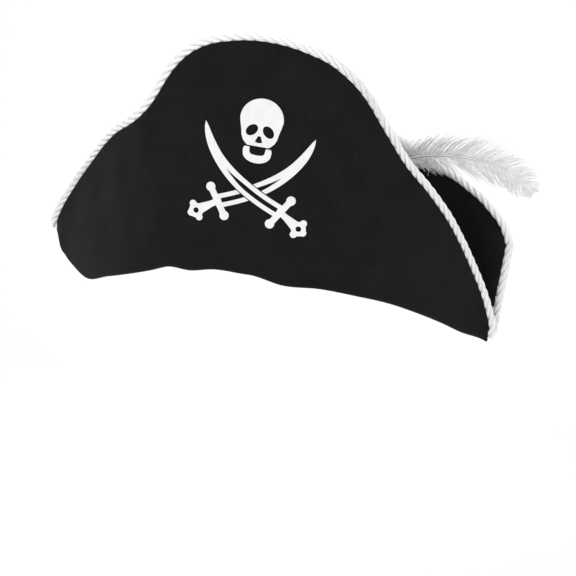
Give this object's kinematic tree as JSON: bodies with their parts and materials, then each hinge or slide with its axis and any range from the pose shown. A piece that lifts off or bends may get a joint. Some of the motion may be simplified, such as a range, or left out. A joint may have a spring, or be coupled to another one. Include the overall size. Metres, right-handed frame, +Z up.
{
  "type": "pirate hat",
  "caption": "Black felt pirate hat with a tall folded-up front brim, lower rear brim, white cord edging, skull and cutlass print and a white plume.",
  "frame": {"origin": "centre of the head opening, on the sweatband's lower rim", "axes": "+X towards the wearer's left, -Y towards the front, +Z up towards the crown"},
  "size_m": [0.4313, 0.2467, 0.262],
  "materials": {
    "felt": "matt black pressed felt",
    "ribbon": "black ribbed ribbon",
    "black_thread": "black sewing thread",
    "white_thread": "white sewing thread",
    "cord": "white twisted three-ply cord",
    "flock": "white flocked print",
    "feather": "soft white feather barbs",
    "quill": "ivory horn feather shaft"
  },
  "bodies": {
    "hat": {"crown": "felt", "front_brim": "felt", "rear_brim": "felt", "sweatband": "ribbon", "sweatband_stitching": "black_thread", "front_edge_cord": "cord", "rear_edge_cord": "cord", "side_seam_left": "black_thread", "side_seam_right": "black_thread", "front_tack_left": "black_thread", "front_tack_right": "black_thread", "rear_tack_left": "black_thread", "rear_tack_right": "black_thread", "print_cranium": "flock", "print_jaw": "flock", "print_cutlass_front": "flock", "print_cutlass_rear_blade": "flock", "print_cutlass_rear_hilt": "flock", "plume_patch": "felt", "plume_tack_loop": "white_thread"},
    "plume": {"plume_quill": "quill", "plume_vane_upper": "feather", "plume_vane_lower": "feather", "plume_binding": "white_thread"}
  },
  "joints": [
    {"name": "plume_lift", "type": "hinge", "parent": "hat", "child": "plume", "pos_m": [0.058, 0.109, 0.04], "axis": [-0.2157, -0.9765, 0], "range_deg": [0, 30]}
  ]
}
